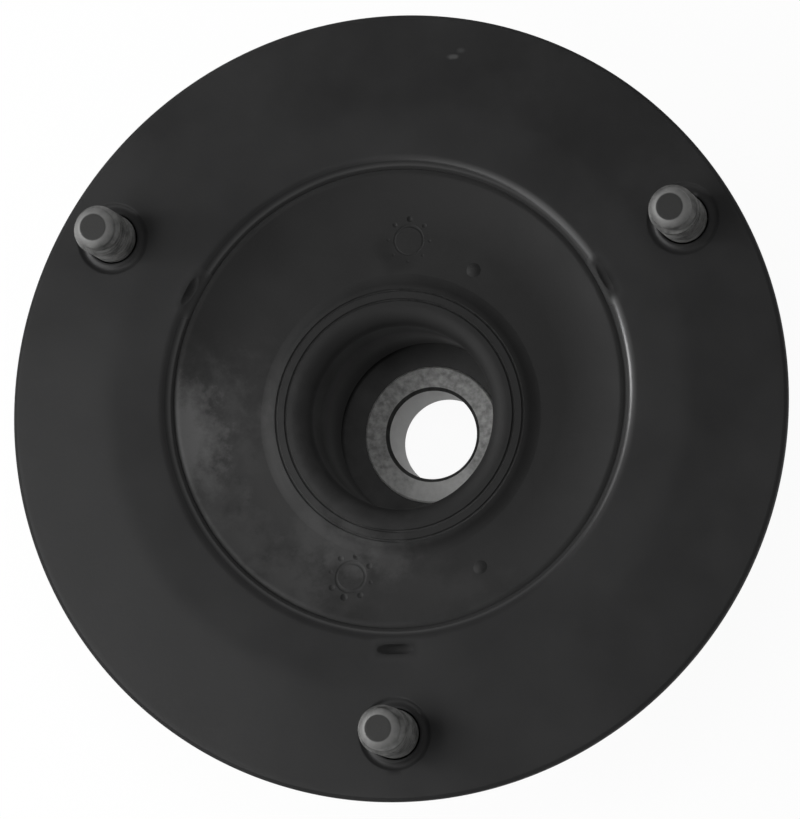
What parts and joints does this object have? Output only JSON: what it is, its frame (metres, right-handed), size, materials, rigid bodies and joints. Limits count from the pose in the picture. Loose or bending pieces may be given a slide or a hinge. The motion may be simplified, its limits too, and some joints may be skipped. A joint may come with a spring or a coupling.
{
  "type": "strut mount",
  "caption": "Round suspension strut top mount: black pressed flange with upright studs, rubber cushion round a deep well, and a sealed ball bearing for the strut rod.",
  "frame": {"origin": "centre of the stud circle, on the flange's top face", "axes": "+Z along the studs, away from the strut; -Y towards one of the studs and towards the offset bearing axis; +X to the right in the picture"},
  "size_m": [0.13, 0.13, 0.0585],
  "materials": {
    "plate_coat": "satin black coating",
    "stud_steel": "grey phosphated steel",
    "rubber": "matte black with a dusty bloom",
    "housing_coat": "satin black coating",
    "clip_steel": "dark spring steel",
    "bearing_steel": "mottled grey ground steel",
    "seal_rubber": "matte black",
    "cage_steel": "pressed sheet",
    "ball_steel": "polished"
  },
  "bodies": {
    "mount": {"top_plate": "plate_coat", "mounting_studs": "stud_steel", "rubber_cushion": "rubber", "bearing_housing": "housing_coat", "retaining_ring": "clip_steel", "bearing_outer_ring": "bearing_steel", "upper_seal": "seal_rubber", "lower_seal": "seal_rubber"},
    "inner_ring": {"bearing_inner_ring": "bearing_steel"},
    "ball_set": {"cage_upper_half": "cage_steel", "cage_lower_half": "cage_steel", "cage_rivets": "cage_steel", "bearing_ball_1": "ball_steel", "bearing_ball_2": "ball_steel", "bearing_ball_3": "ball_steel", "bearing_ball_4": "ball_steel", "bearing_ball_5": "ball_steel", "bearing_ball_6": "ball_steel", "bearing_ball_7": "ball_steel"}
  },
  "joints": [
    {"name": "inner_ring_spin", "type": "hinge", "parent": "mount", "child": "inner_ring", "pos_m": [0, -0.0028, -0.0355], "axis": [0, 0, 1], "continuous": true},
    {"name": "ball_set_spin", "type": "hinge", "parent": "mount", "child": "ball_set", "pos_m": [0, -0.0028, -0.0355], "axis": [0, 0, 1], "continuous": true}
  ],
  "couplings": [
    {"joint": "ball_set_spin", "follows": "inner_ring_spin", "ratio": 0.3607}
  ]
}
